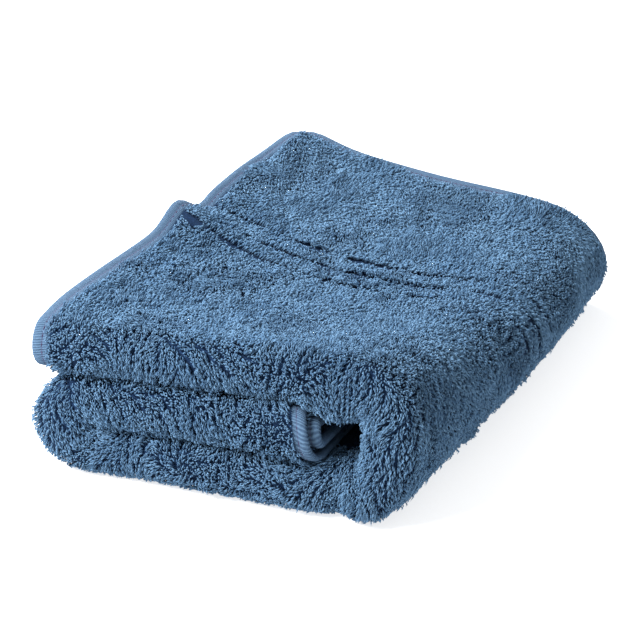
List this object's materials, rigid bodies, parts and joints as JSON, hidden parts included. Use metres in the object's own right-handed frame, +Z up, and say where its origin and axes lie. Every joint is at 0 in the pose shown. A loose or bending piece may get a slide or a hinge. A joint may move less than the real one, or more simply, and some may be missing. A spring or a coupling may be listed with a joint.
{
  "type": "rolled hand towel",
  "caption": "Thick blue terry hand towel, folded in quarters along its length and rolled flat into a soft oblong pad with hemmed edges and an open end of the roll.",
  "frame": {"origin": "middle of the bounding box at its underside, on the surface that the towel lies on", "axes": "+X across the roll from its hemmed edge to its big turn, +Y from the folded front edge to the back edge with the short hems, +Z up"},
  "size_m": [0.1846, 0.2766, 0.0739],
  "materials": {
    "terry": "matt looped cotton pile, slate blue, with a flat woven hem"
  },
  "bodies": {
    "root": {"towel": "terry"}
  },
  "joints": []
}
